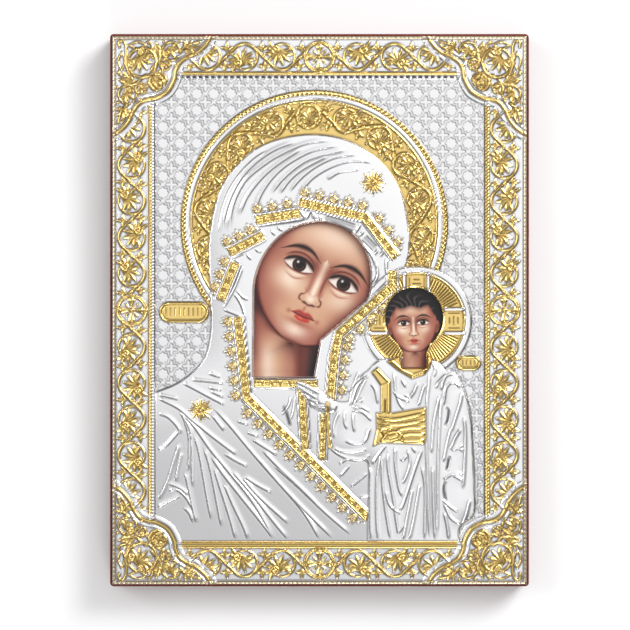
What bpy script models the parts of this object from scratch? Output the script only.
"""Icon panel: a lacquered wooden board, a painted sheet and an embossed metal cover over both.

Metres. The panel lies on its back with its origin at the middle of the board's back face:
+Y runs to the top of the picture and +Z out of its face. The cover has two openings, through
which the painted faces of a veiled woman and of a child show.
"""

from math import atan2, cos, hypot, pi, radians, sin

import bmesh
import bpy
import numpy as np
from mathutils.geometry import delaunay_2d_cdt

MM = 0.001

# Board
BOARD_WIDTH = 182 * MM
BOARD_HEIGHT = 240 * MM
BOARD_THICKNESS = 16 * MM
BOARD_CORNER_RADIUS = 1.5 * MM
BOARD_EDGE_ROUND = 1.2 * MM
BOARD_ROUND_STEPS = 3

# How the layers sit on each other
CLEARANCE = 0.3 * MM
SHEET_THICKNESS = 0.6 * MM
SHEET_CORNER_RADIUS = 0.5 * MM

# Cover
COVER_MARGIN = 1.3 * MM
COVER_CORNER_RADIUS = 1.0 * MM
COVER_RIM = 1.8 * MM
COVER_THICKNESS = 0.8 * MM
BORDER_WIDTH = 18.6 * MM
BORDER_RISE = 0.7 * MM
CORNER_STEPS = 3

# Edge mouldings of the border
OUTER_ROPE_WIDTH = 1.6 * MM
OUTER_ROPE_INSET = 0.5 * MM
OUTER_ROPE_RISE = 0.6 * MM
INNER_FILLET_WIDTH = 2.4 * MM
INNER_FILLET_RISE = 0.7 * MM
MOULDING_STEP = 45 * MM

# Scrollwork of the border
LEAF_RING_WIDTH = 12.3 * MM
LEAF_RING_LENGTH = 14.4 * MM
LEAF_RING_PITCH = 15.65 * MM
CROSS_RING_DIAMETER = 13.4 * MM
RING_LINE = 1.5 * MM
RING_RISE = 0.7 * MM
LEAF_RISE = 0.6 * MM
STEM_WIDTH = 1.5 * MM

# Corner pieces, measured along the edges from the cover's corner
CORNER_REACH = 44 * MM
CORNER_ARC_RADIUS = 15.3 * MM
CORNER_ARC_CENTRE = 12.8 * MM
CORNER_RISE = 0.4 * MM
CORNER_ROPE_WIDTH = 1.8 * MM
CORNER_ROPE_RISE = 0.6 * MM
CORNER_ARC_SIDES = 7
# Bends of the ogee line, as shares of the reach
CORNER_KNEE = (0.89, 0.14)
CORNER_HIP = (0.69, 0.245)
# The ornament is drawn in units that put the centre of the lobe at 12.8 from both edges
CORNER_UNIT = CORNER_ARC_CENTRE / 12.8
CORNER_ROUNDEL = (12.0, 12.0)
CORNER_RING = (26.6, 6.6)
CORNER_SWIRL = (22.6, 16.9)
CORNER_TUFT = (18.6, 5.4)

# Picture: its figures are drawn in hundredths of the field's half height
FIELD_WIDTH = BOARD_WIDTH - 2 * (COVER_MARGIN + BORDER_WIDTH)
FIELD_HEIGHT = BOARD_HEIGHT - 2 * (COVER_MARGIN + BORDER_WIDTH)
UNIT = min(FIELD_WIDTH / 142.2, FIELD_HEIGHT / 200.2)
HALO_CENTRE = (-2.3, 37.4)
HALO_RADIUS = 57.9 * UNIT
HALO_ROPE_WIDTH = 2.2 * UNIT
HALO_BAND_RADIUS = 53.2 * UNIT
HALO_RINGS_RADIUS = 46.8 * UNIT
HALO_RING_SIZE = 11.4 * UNIT
HALO_RING_STEP = 20
HALO_SIDES = 42
CHILD_HALO_CENTRE = (42.0, -4.7)
CHILD_HALO_RADIUS = 23.9 * UNIT
CHILD_HALO_SUNK_RADIUS = 21.2 * UNIT
RING_SIDES = 32
RAY_START = 14.6 * UNIT
RAY_END = 20.2 * UNIT
RAY_WIDTH = 1.2 * UNIT
PANEL_HALF_WIDTH = 6.2 * UNIT

# Relief of the picture
HALO_RISE = 0.5 * MM
HALO_ROPE_RISE = 0.6 * MM
VEIL_RISE = 1.1 * MM
VEIL_SWELL = 0.9 * MM
CHILD_HALO_RISE = 1.6 * MM
CHILD_RISE = 2.0 * MM
CHILD_SWELL = 0.6 * MM
FOLD_RISE = 0.6 * MM
FOLD_WIDTH = 2.6 * MM
TRIM_WIDTH = 3.9 * MM
TRIM_RISE = 0.5 * MM
FRINGE_LENGTH = 5.0 * MM
FRINGE_PITCH = 6.5 * MM
FRINGE_RISE = 0.45 * MM
STAR_RADIUS = 5.1 * MM
PLAQUE_RISE = 0.9 * MM
OPENING_LIP = 0.5 * MM
OPENING_FALL = 2.2 * MM
SLOPE = 0.45 * MM

# How far lines keep from the openings, and how far they run in under a shape in front of them
CUT_GAP = 0.3 * MM
# Points of the relief that lie closer together than this become one
MERGE = 0.16 * MM


def units(points):
    """Turns points drawn in picture units into metres."""
    return np.array(points, dtype=float) * UNIT


def smooth(points, steps=3, closed=False):
    """A Catmull-Rom curve through the points, with a number of steps between two of them."""
    pts = np.array(points, dtype=float)
    n = len(pts)
    if closed:
        padded = np.vstack([pts[-1:], pts, pts[:2]])
        spans = n
    else:
        padded = np.vstack([2 * pts[0] - pts[1], pts, 2 * pts[-1] - pts[-2]])
        spans = n - 1
    out = []
    for i in range(spans):
        a, b, c, d = padded[i:i + 4]
        for k in range(steps):
            t = k / steps
            out.append(0.5 * (2 * b + (c - a) * t + (2 * a - 5 * b + 4 * c - d) * t ** 2
                              + (3 * b - a - 3 * c + d) * t ** 3))
    if not closed:
        out.append(pts[-1])
    return np.array(out)


def arc(centre, radius, start, end, count, squash=1.0, turn=0.0):
    """Points on an arc or ellipse, in degrees; a full turn leaves out its last point."""
    full = abs(abs(end - start) - 360) < 1e-6
    angles = np.radians(np.linspace(start, end, count, endpoint=not full))
    x = radius * np.cos(angles)
    y = radius * squash * np.sin(angles)
    t = radians(turn)
    return np.column_stack([centre[0] + x * cos(t) - y * sin(t), centre[1] + x * sin(t) + y * cos(t)])


def ring(centre, radius, sides):
    """A closed circle with a number of sides."""
    return arc(centre, radius, 0, 360, sides)


def rectangle(width, height, corner=0.0, steps=CORNER_STEPS):
    """A rectangle round the origin, anticlockwise, with round corners where a radius is given."""
    hx, hy = width / 2 - corner, height / 2 - corner
    if corner <= 0:
        return np.array([(hx, hy), (-hx, hy), (-hx, -hy), (hx, -hy)])
    quarters = ((hx, hy, 0), (-hx, hy, 90), (-hx, -hy, 180), (hx, -hy, 270))
    return np.vstack([arc((x, y), corner, a, a + 90, steps + 1) for x, y, a in quarters])


def normals(path, closed):
    """Left-hand normals of a path at its points, lengthened at bends so that offsets stay true."""
    if closed:
        before, after = np.roll(path, 1, axis=0), np.roll(path, -1, axis=0)
    else:
        before = np.vstack([2 * path[0] - path[1], path[:-1]])
        after = np.vstack([path[1:], 2 * path[-1] - path[-2]])
    a, b = path - before, after - path
    a /= np.linalg.norm(a, axis=1)[:, None]
    b /= np.linalg.norm(b, axis=1)[:, None]
    na, nb = np.column_stack([-a[:, 1], a[:, 0]]), np.column_stack([-b[:, 1], b[:, 0]])
    middle = na + nb
    middle /= np.maximum(np.linalg.norm(middle, axis=1)[:, None], 1e-9)
    stretch = np.clip((middle * na).sum(axis=1), 0.55, 1.0)
    return middle / stretch[:, None]


def offset(path, distance, closed=False):
    """The path moved to its left by a distance, or by one distance for each point."""
    return path + normals(path, closed) * np.reshape(distance, (-1, 1))


def nearest(points, path, closed):
    """Distance from each point to the path, and how far along it, from 0 to 1, that place is."""
    ends = np.roll(path, -1, axis=0) if closed else path[1:]
    starts = path if closed else path[:-1]
    spans = ends - starts
    lengths = np.maximum(np.hypot(spans[:, 0], spans[:, 1]), 1e-12)
    run = np.concatenate([[0.0], np.cumsum(lengths)])
    ux, uy = spans[:, 0] / lengths, spans[:, 1] / lengths
    x = points[:, 0:1] - starts[:, 0]
    y = points[:, 1:2] - starts[:, 1]
    t = np.clip(x * ux + y * uy, 0, lengths)
    distance = np.hypot(x - t * ux, y - t * uy)
    pick = distance.argmin(axis=1)
    rows = np.arange(len(points))
    return distance[rows, pick], (run[pick] + t[rows, pick]) / run[-1]


def inside(points, outline):
    """Which of the points lie within a closed outline."""
    x, y = points[:, 0:1], points[:, 1:2]
    ax, ay = outline[:, 0], outline[:, 1]
    bx, by = np.roll(ax, -1), np.roll(ay, -1)
    crosses = (ay > y) != (by > y)
    rise = np.where(by == ay, 1.0, by - ay)
    return (crosses & (x < (bx - ax) * (y - ay) / rise + ax)).sum(axis=1) % 2 == 1


def depth(points, outline):
    """Signed distance to a closed outline, positive within it."""
    distance, _ = nearest(points, outline, True)
    return np.where(inside(points, outline), distance, -distance)


class Relief:
    """Shapes raised on a flat ground, gathered as lines and height rules, made into one solid.

    Every shape adds the lines where its surface bends, and a rule that raises the points lying
    on it. Shapes are given from back to front, and a shape names the outlines that cover it.
    """

    def __init__(self, outline, openings):
        self.outline = outline
        self.openings = openings
        self.spots = []
        self.lines = [(outline, True)]
        self.lines += [(hole, True) for hole in openings]
        self.rules = []

    def line(self, path, closed=False, covers=()):
        """Adds a line, cut where it would run under a covering outline or out of the cover."""
        path = np.array(path, dtype=float)
        if closed:
            path = np.vstack([path, path[:1]])
        seen = self.shown(path, covers)
        if seen.all():
            self.lines.append((path[:-1] if closed else path, closed))
            return
        run = []
        for i in range(len(path)):
            if i and seen[i] != seen[i - 1]:
                low, high = path[i - 1], path[i]
                for _ in range(10):
                    middle = (low + high) / 2
                    if self.shown(middle[None], covers)[0] == seen[i - 1]:
                        low = middle
                    else:
                        high = middle
                run.append(low if seen[i - 1] else high)
            if seen[i]:
                run.append(path[i])
            elif run:
                self.keep(run)
                run = []
        self.keep(run)

    def shown(self, points, covers):
        """Which points lie on the cover, clear of its openings and hardly under another shape."""
        clear = depth(points, self.outline) > CUT_GAP
        limits = [(hole, 1, -CUT_GAP) for hole in self.openings]
        limits += [(outline, sign, CUT_GAP) for outline, sign in covers]
        for outline, sign, limit in limits:
            if clear.any():
                clear[clear] = sign * depth(points[clear], outline) < limit
        return clear

    def keep(self, run):
        """Keeps a cut piece of a line when it is long enough to matter."""
        run = np.array(run)
        if len(run) > 1 and np.linalg.norm(np.diff(run, axis=0), axis=1).sum() > 4 * CUT_GAP:
            self.lines.append((run, False))

    def level(self, outline, height, slope=SLOPE, outward=False, covers=(), inset=True):
        """Sets everything within the outline, or outside it, to one height."""
        sign = -1 if outward else 1
        self.line(outline, True, covers)
        if inset:
            turn = sign * (1 if area(outline) > 0 else -1)
            self.line(offset(outline, slope * turn, True), True, covers)

        def rule(points, heights):
            t = np.clip(sign * depth(points, outline) / slope, 0, 1)
            return heights + (height - heights) * t

        self.rules.append((outline, outward, rule))

    def raised(self, outline, rise, slope=SLOPE, crests=(), covers=(), inset=True):
        """Raises what lies within the outline; crests are further lines on the raised part."""
        self.line(outline, True, covers)
        if inset:
            turn = 1 if area(outline) > 0 else -1
            self.line(offset(outline, slope * turn, True), True, covers)
        for crest in crests:
            self.line(crest, False, covers)

        def rule(points, heights):
            return heights + rise * np.clip(depth(points, outline) / slope, 0, 1)

        self.rules.append((outline, False, rule))

    def bead(self, centre, radii, width, rise, covers=(), turn=0.0, count=10):
        """Raises an oval ring whose inner flank runs down to whatever the ring holds."""
        half = width / 2
        squash = (radii[1] - half) / (radii[0] - half)
        path = arc(centre, radii[0] - half, 0, 360, count, squash, turn)
        self.line(path, True, covers)
        self.line(arc(centre, radii[0], 0, 360, count, radii[1] / radii[0], turn), True, covers)

        def rule(points, heights):
            distance, _ = nearest(points, path, True)
            return heights + rise * np.clip(1 - distance / half, 0, 1)

        self.rules.append((offset(path, -width, True), False, rule))

    def ridge(self, path, width, rise, closed=False, taper=0.0, covers=()):
        """Raises a ridge along a path; a taper is the share of its length that each end takes."""
        half = width / 2
        if closed:
            feet = [offset(path, half, True), offset(path, -half, True)]
        else:
            steps = np.linalg.norm(np.diff(path, axis=0), axis=1)
            share = np.concatenate([[0.0], np.cumsum(steps)]) / steps.sum()
            widths = half * narrowing(share, taper)
            feet = [offset(path, widths), offset(path, -widths)]
            if taper > 0:
                feet = [np.vstack([feet[0], feet[1][-2:0:-1]])]
        self.line(path, closed, covers)
        for foot in feet:
            self.line(foot, closed or taper > 0, covers)

        def rule(points, heights):
            distance, share = nearest(points, path, closed)
            local = half * (1.0 if closed else narrowing(share, taper))
            return heights + rise * local / half * np.clip(1 - distance / np.maximum(local, 1e-9), 0, 1)

        self.rules.append((np.vstack(feet + [path]), None, rule))

    def swell(self, outline, rise, extent, spacing, covers=()):
        """Lets a flat shape swell gently from its outline, carried by a grid of loose points."""
        low, high = outline.min(axis=0), outline.max(axis=0)
        xs, ys = np.meshgrid(np.arange(low[0], high[0], spacing), np.arange(low[1], high[1], spacing))
        spots = np.column_stack([xs.ravel(), ys.ravel()])
        spots = spots[depth(spots, outline) > spacing / 3]
        self.spots.append(spots[self.shown(spots, covers)])

        def rule(points, heights):
            t = np.clip(depth(points, outline) / extent, 0, 1)
            return heights + rise * t * (2 - t)

        self.rules.append((outline, False, rule))

    def lips(self, lip, fall):
        """Leads the relief down to a thin lip round each opening."""
        for hole in self.openings:
            turn = 1 if area(hole) > 0 else -1
            foot = offset(hole, -fall * turn, True)
            self.line(foot, True)

            def rule(points, heights, hole=hole):
                t = np.clip(-depth(points, hole) / fall, 0, 1)
                return lip + (heights - lip) * t

            self.rules.append((foot, False, rule))

    def heights(self, points):
        """The height of every point above the ground, after all rules in their order."""
        out = np.zeros(len(points))
        for reach, outward, rule in self.rules:
            if outward:
                near = np.ones(len(points), dtype=bool)
            else:
                low, high = reach.min(axis=0) - MM, reach.max(axis=0) + MM
                near = ((points > low) & (points < high)).all(axis=1)
            if near.any():
                out[near] = rule(points[near], out[near])
        return out

    def triangles(self):
        """Joins all lines into one triangulation; returns its points and triangles."""
        points, edges = [], []
        for path, closed in self.lines:
            start = len(points)
            points += [tuple(p) for p in path]
            count = len(path)
            edges += [(start + i, start + i + 1) for i in range(count - 1)]
            if closed:
                edges.append((start + count - 1, start))
        points = np.vstack([np.array(points)] + self.spots)
        for _ in range(2):
            points, edges, _ = triangulate(points, edges)
            points, edges = merge_close(points, edges, MERGE)
        points, _, faces = triangulate(points, edges)
        middles = points[faces].mean(axis=1)
        keep = inside(middles, self.outline)
        for hole in self.openings:
            keep &= ~inside(middles, hole)
        return points, faces[keep]

    def solid(self, name, ground, pocket_outline, pocket_top, rim_bottom):
        """Builds the closed solid: relief above, a flat pocket below with a rim round it."""
        points, faces = self.triangles()
        tops = ground + self.heights(points)
        mesh = bmesh.new()
        upper = [mesh.verts.new((x, y, z)) for (x, y), z in zip(points, tops)]
        for a, b, c in faces:
            mesh.faces.new((upper[a], upper[b], upper[c]))
        edges = boundary(faces)
        outer = nearest(points, self.outline, True)[0] < MERGE / 4
        lower = {}
        for a, _ in edges:
            z = rim_bottom if outer[a] else pocket_top
            lower[a] = mesh.verts.new((points[a][0], points[a][1], z))
        for a, b in edges:
            mesh.faces.new((upper[b], upper[a], lower[a], lower[b]))
        rim = [i for i, _ in edges if outer[i]]
        self.underside(mesh, points, edges, lower, pocket_outline, (pocket_top, rim_bottom), rim)
        bmesh.ops.recalc_face_normals(mesh, faces=mesh.faces)
        return finish(name, mesh)

    def underside(self, mesh, points, edges, lower, pocket, levels, rim):
        """Closes the solid below: the rim's flat ring, the pocket's wall and its flat top."""
        pocket_top, rim_bottom = levels
        below = [mesh.verts.new((x, y, rim_bottom)) for x, y in pocket]
        above = [mesh.verts.new((x, y, pocket_top)) for x, y in pocket]
        count = len(pocket)
        for i in range(count):
            j = (i + 1) % count
            mesh.faces.new((below[i], below[j], above[j], above[i]))
        loops = [(i, (i + 1) % count) for i in range(count)]
        on_rim = set(rim)
        rim_edges = [e for e in edges if e[0] in on_rim]
        hole_edges = [e for e in edges if e[0] not in on_rim]
        for chosen, corners, within in ((rim_edges, below, False), (hole_edges, above, True)):
            names = sorted({i for e in chosen for i in e})
            place = {i: count + k for k, i in enumerate(names)}
            flat = np.vstack([pocket] + [points[names]])
            verts = corners + [lower[i] for i in names]
            links = loops + [(place[a], place[b]) for a, b in chosen]
            made, _, faces = triangulate(flat, links)
            middles = made[faces].mean(axis=1)
            keep = inside(middles, pocket) == within
            for hole in self.openings:
                keep &= ~inside(middles, hole)
            for a, b, c in faces[keep]:
                mesh.faces.new((verts[c], verts[b], verts[a]))


def area(outline):
    """Signed area of a closed outline."""
    x, y = outline[:, 0], outline[:, 1]
    return 0.5 * (x * np.roll(y, -1) - y * np.roll(x, -1)).sum()


def narrowing(share, taper):
    """Full width along the middle of a ridge, narrowing to nothing over the taper at its ends."""
    if taper <= 0:
        return np.ones_like(share)
    return np.clip(np.minimum(share, 1 - share) / taper, 0, 1)


def triangulate(points, edges):
    """Constrained triangulation of flat points; the given points keep their order.

    Returns the points, the edges that lie on given edges, and the triangles.
    """
    verts, made, faces, origin, sources, _ = delaunay_2d_cdt(
        [tuple(p) for p in points / MM], list(edges), [], 0, 1e-5, True)
    order = np.array([min(given) if given else len(points) + i for i, given in enumerate(origin)])
    ranks = np.argsort(order)
    place = np.empty(len(verts), dtype=int)
    place[ranks] = np.arange(len(verts))
    flat = np.array([(v[0], v[1]) for v in verts])[ranks] * MM
    wanted = [(place[a], place[b]) for (a, b), given in zip(made, sources) if given]
    return flat, wanted, place[np.array(faces)]


def merge_close(points, edges, distance):
    """Draws points that lie closer together than a distance into one."""
    cells = {}
    target = np.arange(len(points))
    for i, (x, y) in enumerate(points):
        cx, cy = int(np.floor(x / distance)), int(np.floor(y / distance))
        found = None
        for dx in (-1, 0, 1):
            for dy in (-1, 0, 1):
                for j in cells.get((cx + dx, cy + dy), ()):
                    if hypot(points[j][0] - x, points[j][1] - y) < distance:
                        found = j
        if found is None:
            cells.setdefault((cx, cy), []).append(i)
        else:
            target[i] = found
    kept = np.unique(target)
    place = {old: new for new, old in enumerate(kept)}
    links = {tuple(sorted((place[target[a]], place[target[b]]))) for a, b in edges}
    return points[kept], sorted(link for link in links if link[0] != link[1])


def boundary(faces):
    """Directed edges that belong to one triangle only."""
    seen = {}
    for a, b, c in faces:
        for edge in ((a, b), (b, c), (c, a)):
            seen[edge] = True
    return [edge for edge in seen if (edge[1], edge[0]) not in seen]


def finish(name, mesh):
    """Turns a bmesh into an object of the scene."""
    data = bpy.data.meshes.new(name)
    mesh.to_mesh(data)
    mesh.free()
    obj = bpy.data.objects.new(name, data)
    bpy.context.scene.collection.objects.link(obj)
    return obj


def material(obj, name, colour, roughness, metallic):
    """Gives an object a plain material."""
    made = bpy.data.materials.new(name)
    made.use_nodes = True
    shader = made.node_tree.nodes["Principled BSDF"]
    shader.inputs["Base Color"].default_value = (*colour, 1.0)
    shader.inputs["Roughness"].default_value = roughness
    shader.inputs["Metallic"].default_value = metallic
    obj.data.materials.append(made)


def slab(name, outline, bottom, top):
    """A flat slab with a given outline."""
    mesh = bmesh.new()
    face = mesh.faces.new([mesh.verts.new((x, y, bottom)) for x, y in outline])
    moved = bmesh.ops.extrude_face_region(mesh, geom=[face])
    rising = [v for v in moved["geom"] if isinstance(v, bmesh.types.BMVert)]
    bmesh.ops.translate(mesh, verts=rising, vec=(0, 0, top - bottom))
    bmesh.ops.recalc_face_normals(mesh, faces=mesh.faces)
    return finish(name, mesh)


def board():
    """The wooden board, with a small radius at its corners and a rounded front edge."""
    outline = rectangle(BOARD_WIDTH, BOARD_HEIGHT, BOARD_CORNER_RADIUS)
    mesh = bmesh.new()
    rings = [(0.0, 0.0), (0.0, BOARD_THICKNESS - BOARD_EDGE_ROUND)]
    for step in range(1, BOARD_ROUND_STEPS + 1):
        turn = radians(90 * step / BOARD_ROUND_STEPS)
        inset = BOARD_EDGE_ROUND * (1 - cos(turn))
        rings.append((inset, BOARD_THICKNESS - BOARD_EDGE_ROUND * (1 - sin(turn))))
    loops = []
    for inset, z in rings:
        ring = outline * (1 - inset / np.array([BOARD_WIDTH / 2, BOARD_HEIGHT / 2]))
        loops.append([mesh.verts.new((x, y, z)) for x, y in ring])
    for low, high in zip(loops, loops[1:]):
        for i in range(len(low)):
            j = (i + 1) % len(low)
            mesh.faces.new((low[i], low[j], high[j], high[i]))
    mesh.faces.new(loops[0][::-1])
    mesh.faces.new(loops[-1])
    obj = finish("board", mesh)
    obj.data.shade_smooth()
    obj.data.set_sharp_from_angle(angle=radians(40))
    material(obj, "lacquered_wood", (0.10, 0.018, 0.010), 0.28, 0.0)
    return obj


def leaf(relief, base, angle, size, covers=(), lobes=5):
    """A palmette that grows from its base: pointed lobes with a rib raised along each."""
    outline, ribs = [base], []
    spread = radians(62)
    heart = base + 0.28 * size * np.array([cos(angle), sin(angle)])
    for k in range(lobes):
        share = k / (lobes - 1) * 2 - 1
        a = angle + share * spread
        reach = size * (1 - 0.30 * share ** 2)
        tip = base + reach * np.array([cos(a), sin(a)])
        rib = base + 0.62 * reach * np.array([cos(a), sin(a)])
        if k:
            notch = angle + (share - 1 / (lobes - 1)) * spread
            outline.append(base + 0.60 * size * np.array([cos(notch), sin(notch)]))
        outline.append(tip)
        ribs.append(np.array([heart, rib]))
    relief.raised(np.array(outline), LEAF_RISE, 0.12 * size, ribs, covers, inset=False)


def leaf_medallion(relief, centre, along, side, width, length, covers=()):
    """A ring with a palmette in it; side tells from which side of the band the leaf grows."""
    relief.bead(centre, (width / 2, length / 2), RING_LINE, RING_RISE, covers, np.degrees(along) - 90)
    across = along + pi / 2 * side
    base = centre - (width / 2 - RING_LINE) * np.array([cos(across), sin(across)])
    leaf(relief, base, across, 0.78 * width, covers)


def cross_medallion(relief, centre, diameter, covers=()):
    """A round ring with a four-armed flared cross in it."""
    relief.bead(centre, (diameter / 2, diameter / 2), RING_LINE, RING_RISE, covers, count=12)
    reach = diameter / 2 - RING_LINE
    outline, ribs = [], []
    for k in range(4):
        a = k * pi / 2
        for swing, share in ((-0.36, 0.95), (0.36, 0.95), (pi / 4, 0.30)):
            outline.append(centre + share * reach * np.array([cos(a + swing), sin(a + swing)]))
        ribs.append(np.array([centre, centre + 0.6 * reach * np.array([cos(a), sin(a)])]))
    relief.raised(np.array(outline), LEAF_RISE, 0.14 * reach, ribs, covers, inset=False)


def corner_outline(sx, sy):
    """Outline of one corner piece: two ogee sweeps that meet in a round lobe over the field."""
    hx, hy = BOARD_WIDTH / 2 - COVER_MARGIN, BOARD_HEIGHT / 2 - COVER_MARGIN
    lobe = arc((CORNER_ARC_CENTRE,) * 2, CORNER_ARC_RADIUS, 2, 88, CORNER_ARC_SIDES + 1)
    start = np.array([CORNER_REACH, -2 * MM])
    knee, hip = np.array([CORNER_KNEE, CORNER_HIP]) * CORNER_REACH
    sweep = smooth([start, knee, hip, lobe[0]], 3)[:-1]
    other = sweep[::-1, ::-1]
    line = np.vstack([sweep, lobe, other])
    corner = np.array([[-2 * MM, -2 * MM]])
    shape = np.vstack([corner, line])
    place = np.array([hx, hy]) - shape
    rope = np.array([hx, hy]) - line
    sign = np.array([sx, sy])
    return place * sign, rope * sign


def corner_piece(relief, sx, sy):
    """Carves one corner piece: its rope edge, medallions, swirls and palmettes."""
    outline, rope = corner_outline(sx, sy)
    half = CORNER_ROPE_WIDTH / 2
    relief.level(outline, BORDER_RISE + CORNER_RISE, half, inset=False)
    relief.line(offset(rope, half * sx * sy))
    relief.line(offset(rope, 2 * half * sx * sy))

    def rule(points, heights):
        from_crest = np.abs(depth(points, outline) - half)
        return heights + CORNER_ROPE_RISE * np.clip(1 - from_crest / half, 0, 1)

    relief.rules.append((outline, False, rule))
    hx, hy = BOARD_WIDTH / 2 - COVER_MARGIN, BOARD_HEIGHT / 2 - COVER_MARGIN
    sign = np.array([sx, sy])

    def place(spot, swap=False):
        return (np.array([hx, hy]) - np.array(spot[::-1] if swap else spot) * CORNER_UNIT) * sign

    diagonal = atan2(-sy, -sx)
    big = 0.73 * CORNER_ARC_RADIUS
    centre = place(CORNER_ROUNDEL)
    relief.bead(centre, (big / 2, big / 2), RING_LINE, RING_RISE)
    leaf(relief, centre - 0.34 * big * np.array([cos(diagonal), sin(diagonal)]), diagonal, 0.72 * big)
    for swap in (False, True):
        near, small, tuft = [place(spot, swap) for spot in (CORNER_RING, CORNER_SWIRL, CORNER_TUFT)]
        out = atan2(-sy, 0) if swap else atan2(0, -sx)
        width = 0.5 * CORNER_ARC_RADIUS
        relief.bead(near, (width / 2, width / 2), RING_LINE, RING_RISE, count=8)
        leaf(relief, near - 0.3 * width * np.array([cos(out), sin(out)]), out, 0.62 * width, lobes=3)
        swirl = 0.19 * CORNER_ARC_RADIUS
        relief.bead(small, (swirl, swirl), RING_LINE, RING_RISE, count=6)
        leaf(relief, tuft, out, 0.32 * CORNER_ARC_RADIUS, lobes=3)


def border(relief, corners):
    """The border: raised ground, outer rope, inner fillet, scroll bands and corner pieces."""
    covers = [(outline, 1) for outline in corners]
    field = rectangle(FIELD_WIDTH, FIELD_HEIGHT)
    relief.level(field, BORDER_RISE, outward=True, covers=covers)
    width, height = BOARD_WIDTH - 2 * COVER_MARGIN, BOARD_HEIGHT - 2 * COVER_MARGIN
    rope = 2 * OUTER_ROPE_INSET + OUTER_ROPE_WIDTH
    relief.ridge(dense(rectangle(width - rope, height - rope)), OUTER_ROPE_WIDTH, OUTER_ROPE_RISE,
                 True, covers=covers)
    fillet = INNER_FILLET_WIDTH + 2 * SLOPE
    relief.ridge(dense(rectangle(FIELD_WIDTH + fillet, FIELD_HEIGHT + fillet)), INNER_FILLET_WIDTH,
                 INNER_FILLET_RISE, True, covers=covers)
    band = BORDER_WIDTH - OUTER_ROPE_INSET - OUTER_ROPE_WIDTH - SLOPE - INNER_FILLET_WIDTH
    middle = BORDER_WIDTH - SLOPE - INNER_FILLET_WIDTH - band / 2
    scroll_side(relief, width / 2 - middle, height, 0, covers)
    scroll_side(relief, height / 2 - middle, width, 90, covers)


def dense(loop):
    """The closed loop with further points on its long sides."""
    out = []
    for a, b in zip(loop, np.roll(loop, -1, axis=0)):
        count = max(1, int(round(hypot(*(b - a)) / MOULDING_STEP)))
        out += [a + (b - a) * k / count for k in range(count)]
    return np.array(out)


def scroll_side(relief, distance, length, turn, covers):
    """Both bands of scrollwork that lie on opposite sides of the panel."""
    free = length / 2 - CORNER_REACH + LEAF_RING_PITCH * 0.12
    count = int(free // LEAF_RING_PITCH)
    for side in (1, -1):
        facing = radians(turn) + (0 if side > 0 else pi)
        out = np.array([cos(facing), sin(facing)])
        along = np.array([-out[1], out[0]])
        middle = out * distance
        cross_medallion(relief, middle, CROSS_RING_DIAMETER, covers)
        for way in (1, -1):
            for k in range(1, count + 1):
                centre = middle + along * way * LEAF_RING_PITCH * (k + 0.06)
                growth = 1 if k % 2 else -1
                leaf_medallion(relief, centre, atan2(along[1], along[0]), growth,
                               LEAF_RING_WIDTH, LEAF_RING_LENGTH, covers)
                joint = middle + along * way * LEAF_RING_PITCH * (k - 0.45)
                lean = LEAF_RING_WIDTH * 0.5 * growth
                bend = [joint + out * lean * 0.95 - along * way * 1.6 * MM, joint,
                        joint - out * lean * 0.95 + along * way * 1.6 * MM]
                relief.ridge(np.array(bend), STEM_WIDTH, RING_RISE, taper=0.3, covers=covers)


def big_halo(relief, covers):
    """The woman's halo: rope edge, smooth band, and a band of leaf medallions."""
    centre = units([HALO_CENTRE])[0]
    half = HALO_ROPE_WIDTH / 2
    relief.level(ring(centre, HALO_RADIUS, HALO_SIDES), HALO_RISE, half, covers=covers, inset=False)
    relief.ridge(ring(centre, HALO_RADIUS - half, HALO_SIDES), HALO_ROPE_WIDTH, HALO_ROPE_RISE, True,
                 covers=covers)
    relief.ridge(ring(centre, HALO_BAND_RADIUS, RING_SIDES), RING_LINE, RING_RISE, True, covers=covers)
    for k in range(-6, 6):
        angle = radians(93 + HALO_RING_STEP * k)
        spot = centre + HALO_RINGS_RADIUS * np.array([cos(angle), sin(angle)])
        if any(sign * depth(spot[None], cover)[0] > -HALO_RING_SIZE / 10 for cover, sign in covers):
            continue
        leaf_medallion(relief, spot, angle + pi / 2, 1 if k % 2 else -1, HALO_RING_SIZE, HALO_RING_SIZE,
                       covers)


def veil_outline():
    """The woman's figure, from her left sleeve over the crown to her other shoulder."""
    left = [(-95, -43), (-70, -35), (-59.1, -29.9), (-50.1, -21), (-47.2, -9), (-47.4, 6), (-47.9, 22.8)]
    crown = [(-47.2, 35.5), (-41.8, 54.6), (-27.9, 69.8), (-8.8, 75.9), (10.2, 74.3), (25.5, 65.4)]
    right = [(35, 52), (38.7, 35.5), (38.8, 24.8), (37.4, 19.2), (34, 0), (30, -20)]
    line = smooth(left + crown + right, 2)
    return units(np.vstack([line, [(30, -125), (-95, -125)]]))


def face_opening():
    """The opening for the woman's face and neck: a tilted oval run into a column.

    The oval is cut straight along the veil's braid, and along the neck's line on the left.
    """
    centre = np.array([-3.0, 10.5])
    oval = arc(centre, 24.4, -47, 212, 26, 28.4 / 24.4, -26)
    along_braid = np.array([cos(radians(-49)), sin(radians(-49))])
    past = np.maximum((oval - centre) @ along_braid - 19.6, 0)
    oval = oval - past[:, None] * along_braid
    oval[:, 0] = np.maximum(oval[:, 0], -28.6)
    return units(np.vstack([oval, [(-28.4, -28.8), (-2.6, -28.8)]]))


def child_opening():
    """The opening for the child's head and neck."""
    head = arc((41.0, -3.4), 12.6, -56, 236, 22, 1.05)
    neck = [(36.2, -18.5), (36.0, -24.6), (46.2, -24.6), (46.2, -18.5)]
    return units(np.vstack([head, neck]))


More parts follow.
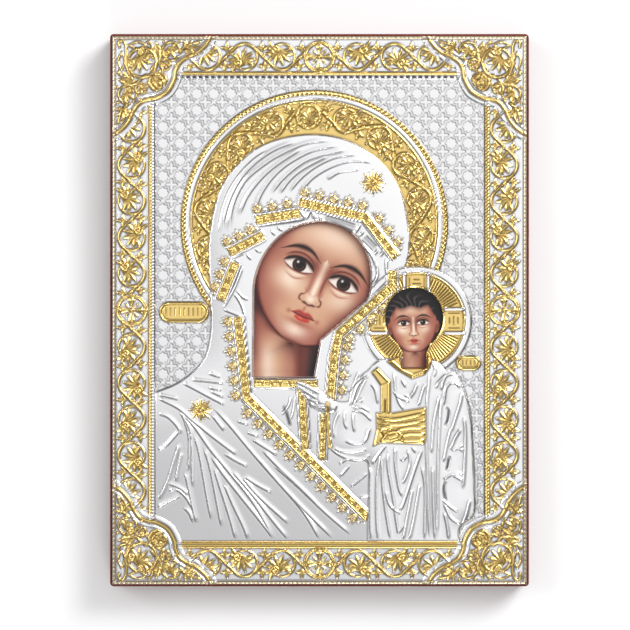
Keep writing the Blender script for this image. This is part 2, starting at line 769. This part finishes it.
def child_outline():
    """The child's body: shoulders, the arm that blesses, the robe and the cloak."""
    hand = [(28, -21), (21, -26), (17, -29.5), (14.6, -36), (12, -39.6), (5, -38.6), (-3, -33.4), (-8.4, -31),
            (-9.6, -33), (-3.6, -41), (1.6, -44.5), (3.6, -45.5)]
    sleeve = [(4.9, -59.5), (13.5, -64.9), (18.9, -64.9), (21.2, -68)]
    robe = [(21, -84), (21, -103), (24, -125), (58, -125), (60.7, -103), (60.9, -94), (67, -88)]
    cloak = [(67.1, -74), (66.5, -58.8), (65.7, -46.2), (63.5, -36.3), (59.5, -28), (54.4, -25.2), (48, -21)]
    return units(smooth(hand + sleeve + robe + cloak, 2, True))


def fold_family(relief, first, last, count, covers=(), taper=0.34, width=FOLD_WIDTH, steps=2):
    """Folds that pass evenly from one curve to another, each one rising and dying away."""
    a, b = units(first), units(last)
    for k in range(count):
        share = k / max(count - 1, 1)
        path = smooth(a + (b - a) * share, steps)
        relief.ridge(path, width, FOLD_RISE, taper=taper, covers=covers)


def woman_folds(relief, covers):
    """Folds of the veil over the crown and of the mantle over shoulder and arm."""
    fold_family(relief, [(-45.4, 18), (-41.0, 44), (-22.6, 66.5), (2, 72)],
                [(-33.0, 34), (-17.0, 55), (2.0, 63.5), (23, 61)], 7, covers)
    fold_family(relief, [(-57.5, -42), (-56.0, -66), (-50.0, -97)],
                [(-49.7, -40), (-33.0, -64), (3.0, -97)], 7, covers)
    fold_family(relief, [(-46.5, -28), (-34.0, -46), (-7.0, -73)],
                [(-42.0, -12), (-37.5, -36), (-22.0, -52)], 3, covers)


def child_folds(relief):
    """Folds of the child's robe, sleeve and cloak."""
    narrow = 0.85 * FOLD_WIDTH
    fold_family(relief, [(24.6, -61), (25.6, -78), (24.5, -98)],
                [(42.5, -60), (45.5, -80), (44.5, -98)], 5, width=narrow)
    fold_family(relief, [(49.0, -31), (49.5, -60), (49.0, -98)],
                [(63.0, -40), (64.5, -64), (57.5, -92)], 4, width=narrow)
    fold_family(relief, [(18.0, -33), (20.8, -44), (12.0, -58)],
                [(14.5, -41), (12.0, -48), (7.6, -53)], 3, width=narrow)
    fold_family(relief, [(32.5, -31), (36.0, -37), (43.5, -36)],
                [(31.0, -36), (35.5, -41), (43.0, -40)], 2, width=narrow)


def trim(relief, points, fringe=0, covers=()):
    """A flat braid along the veil's edge, with a fringe of small palmettes on one side."""
    path = units(points)
    half = TRIM_WIDTH * UNIT / MM / 2
    band = np.vstack([offset(path, half), offset(path, -half)[::-1]])
    relief.raised(band, TRIM_RISE, covers=covers)
    if not fringe:
        return
    lengths = np.linalg.norm(np.diff(path, axis=0), axis=1)
    run = np.concatenate([[0.0], np.cumsum(lengths)])
    count = max(1, int(run[-1] / FRINGE_PITCH))
    for k in range(count):
        where = run[-1] * (k + 0.5) / count
        piece = min(int(np.searchsorted(run, where) - 1), len(path) - 2)
        along = (path[piece + 1] - path[piece]) / lengths[piece]
        out = fringe * np.array([-along[1], along[0]])
        foot = path[piece] + along * (where - run[piece]) + out * (half + 0.3 * MM)
        side = along * 0.38 * FRINGE_PITCH
        tip = foot + out * FRINGE_LENGTH
        waist = foot + out * 0.45 * FRINGE_LENGTH
        petal = np.array([foot - 0.5 * side, foot + 0.5 * side, waist + side, tip, waist - side])
        if area(petal) < 0:
            petal = petal[::-1]
        relief.raised(petal, FRINGE_RISE, 0.2 * FRINGE_LENGTH, [[foot + 0.2 * (tip - foot), waist]],
                      covers, inset=False)


def star(relief, centre, radius, rays=16):
    """A many-rayed star that rises to its middle."""
    angles = [pi * k / rays for k in range(2 * rays)]
    shares = [1.0 if k % 2 == 0 else 0.55 for k in range(2 * rays)]
    outline = np.array([centre + radius * s * np.array([cos(a), sin(a)]) for a, s in zip(angles, shares)])
    spokes = [np.array([centre, centre + 0.5 * radius * np.array([cos(a), sin(a)])])
              for a in (0.0, pi / 2, pi, 1.5 * pi)]
    relief.raised(outline, 2 * FOLD_RISE, 0.2 * radius, spokes, inset=False)


def plaque(relief, centre, width, height, covers=()):
    """A small plaque with round ends, a raised rim and a sunk middle."""
    across = width - height
    right = arc((centre[0] + across / 2, centre[1]), height / 2, -90, 90, 7)
    left = arc((centre[0] - across / 2, centre[1]), height / 2, 90, 270, 7)
    outline = np.vstack([right, left])
    relief.raised(outline, PLAQUE_RISE, covers=covers)
    relief.raised(offset(outline, 2 * SLOPE, True), -PLAQUE_RISE / 3, covers=covers, inset=False)


def child_halo(relief, covers):
    """The child's halo: a plain rim, a thin ring, and rays between three plain panels."""
    centre = units([CHILD_HALO_CENTRE])[0]
    relief.level(ring(centre, CHILD_HALO_RADIUS, RING_SIDES), CHILD_HALO_RISE, covers=covers)
    sunk = ring(centre, CHILD_HALO_SUNK_RADIUS, RING_SIDES)
    relief.raised(sunk, -0.5 * FOLD_RISE, covers=covers)
    for angle in (90, 0, 180):
        for side in (-1, 1):
            a = radians(angle)
            out, along = np.array([cos(a), sin(a)]), np.array([-sin(a), cos(a)])
            edge = centre + along * side * PANEL_HALF_WIDTH
            relief.ridge(np.array([edge + out * RAY_START, edge + out * RAY_END]), RAY_WIDTH, FOLD_RISE,
                         covers=covers)
    for low, high in ((26, 64), (116, 154), (206, 236), (304, 334)):
        for k in range(5):
            a = radians(low + (high - low) * k / 4)
            out = np.array([cos(a), sin(a)])
            relief.ridge(np.array([centre + out * RAY_START, centre + out * RAY_END]), RAY_WIDTH,
                         0.6 * FOLD_RISE, covers=covers)


def child_details(relief):
    """Collar, shoulder band, belt and cuff of the child's robe."""
    collar = smooth([(34.2, -20.5), (35.5, -25.8), (41.2, -27.2), (47.0, -25.6), (48.2, -20.5)], 2)
    relief.ridge(units(collar), 2.6 * UNIT, TRIM_RISE)
    clavus = units([(23.4, -26.0), (28.7, -31.6), (28.5, -44.0)])
    half = 1.9 * UNIT
    relief.raised(np.vstack([offset(clavus, half), offset(clavus, -half)[::-1]]), TRIM_RISE)
    belt = units([(24.2, -44.6), (34.0, -44.8), (46.2, -42.2), (46.4, -57.4), (35.0, -58.6), (24.0, -58.6)])
    relief.raised(belt, 1.4 * TRIM_RISE)
    fold_family(relief, [(25.0, -47.6), (34.0, -48.2), (45.2, -46.0)],
                [(25.0, -55.8), (34.0, -55.8), (45.2, -53.6)], 3, taper=0.15)
    relief.ridge(units([(3.9, -41.5), (5.2, -58.5)]), 1.4 * UNIT, TRIM_RISE)


def picture(relief, corners):
    """The picture within the border: field, halos, the two figures and their plaques."""
    field = rectangle(FIELD_WIDTH, FIELD_HEIGHT)
    frame = [(field, -1)] + [(outline, 1) for outline in corners]
    veil, child = veil_outline(), child_outline()
    round_halo = ring(units([CHILD_HALO_CENTRE])[0], CHILD_HALO_RADIUS, RING_SIDES)
    big_halo(relief, frame + [(veil, 1), (round_halo, 1), (child, 1)])
    plaque(relief, units([(-58.7, -0.9)])[0], 21.6 * UNIT, 9.1 * UNIT, frame)
    plaque(relief, units([(64.5, -22.9)])[0], 10.9 * UNIT, 6.4 * UNIT, frame)
    over_veil = frame + [(round_halo, 1), (child, 1)]
    relief.level(veil, VEIL_RISE, covers=over_veil)
    relief.swell(veil, VEIL_SWELL, 16 * UNIT, 16 * UNIT, over_veil)
    woman_folds(relief, over_veil + [(trim_area(), 1)])
    child_halo(relief, frame + [(child, 1), (trim_area(), 1)])
    relief.level(child, CHILD_RISE, covers=frame)
    relief.swell(child, CHILD_SWELL, 9 * UNIT, 14 * UNIT, frame)
    child_folds(relief)
    child_details(relief)
    woman_trims(relief, frame + [(child, 1)])
    star(relief, units([(23.2, 55.1)])[0], STAR_RADIUS)
    star(relief, units([(-51.4, -43.1)])[0], STAR_RADIUS)


def trim_area():
    """The part of the woman's figure that braid, fringe, cap and collar take up."""
    return units([(-45.5, 1.5), (-45.5, 9), (-43, 26), (-30, 43), (-13, 52), (22, 45), (37.5, 26), (34, 3.5),
                  (14.5, -12), (12, -37), (3, -70), (22, -91), (17.5, -96), (-36, -42), (-41, -4)])


def woman_trims(relief, covers):
    """Braids round the face and down the front, the cap's pleats and the tunic's collar."""
    trim(relief, [(-38.8, 25.0), (-25.2, 31.9)], 1, covers)
    trim(relief, [(-27.0, 37.9), (-9.8, 40.9)], 1, covers)
    trim(relief, [(-8.9, 46.2), (19.5, 40.0), (32.9, 22.8)], 1, covers)
    trim(relief, [(-36.6, 20.0), (-42.4, 5.0)], -1, covers)
    trim(relief, [(-35.3, -2.9), (-31.8, -35.7)], -1, covers)
    trim(relief, [(-29.2, -39.6), (21.1, -90.0)], -1, covers)
    trim(relief, [(31.4, 17.0), (31.0, 10.8)], 0, covers)
    trim(relief, [(28.6, 6.6), (8.5, -10.6), (6.3, -20.3), (4.9, -36.5)], 1, covers)
    trim(relief, [(-27.6, -31.6), (-2.4, -31.9)], 0, covers)
    trim(relief, [(-7.8, -35.6), (-6.2, -59.0)], 0, covers)
    trim(relief, [(1.4, -46.5), (1.1, -63.0)], 0, covers)
    for x, y, dx, dy in ((-8.0, 41.2, 5.5, -3.0), (14.0, 37.0, 6.5, -4.5), (24.5, 24.0, 4.5, -5.0),
                         (-29.0, 27.0, 4.6, -3.6), (-36.0, 14.0, 5.5, -5.5), (-36.5, 3.0, 4.2, -6.0)):
        relief.ridge(units([(x, y), (x + dx, y + dy)]), 1.7 * UNIT, FOLD_RISE, taper=0.4, covers=covers)


def cover(sheet_top):
    """The embossed metal cover, with its border, its picture and its two openings."""
    width, height = BOARD_WIDTH - 2 * COVER_MARGIN, BOARD_HEIGHT - 2 * COVER_MARGIN
    outline = rectangle(width, height, COVER_CORNER_RADIUS)
    pocket = rectangle(width - 2 * COVER_RIM, height - 2 * COVER_RIM)
    relief = Relief(outline, [face_opening(), child_opening()])
    corners = [corner_outline(sx, sy)[0] for sx in (1, -1) for sy in (1, -1)]
    picture(relief, corners)
    relief.lips(OPENING_LIP, OPENING_FALL)
    border(relief, corners)
    for sx in (1, -1):
        for sy in (1, -1):
            corner_piece(relief, sx, sy)
    pocket_top = sheet_top + CLEARANCE
    obj = relief.solid("metal_cover", pocket_top + COVER_THICKNESS, pocket, pocket_top,
                       BOARD_THICKNESS + CLEARANCE)
    material(obj, "silver_plate", (0.86, 0.87, 0.88), 0.22, 1.0)
    return obj


def main():
    """Builds the three pieces from the back to the face."""
    for obj in list(bpy.data.objects):
        bpy.data.objects.remove(obj, do_unlink=True)
    board()
    sheet_bottom = BOARD_THICKNESS + CLEARANCE
    sheet_top = sheet_bottom + SHEET_THICKNESS
    inset = 2 * (COVER_MARGIN + COVER_RIM + CLEARANCE)
    outline = rectangle(BOARD_WIDTH - inset, BOARD_HEIGHT - inset, SHEET_CORNER_RADIUS)
    sheet = slab("painted_sheet", outline, sheet_bottom, sheet_top)
    material(sheet, "painted_sheet", (0.62, 0.36, 0.27), 0.5, 0.0)
    cover(sheet_top)


main()
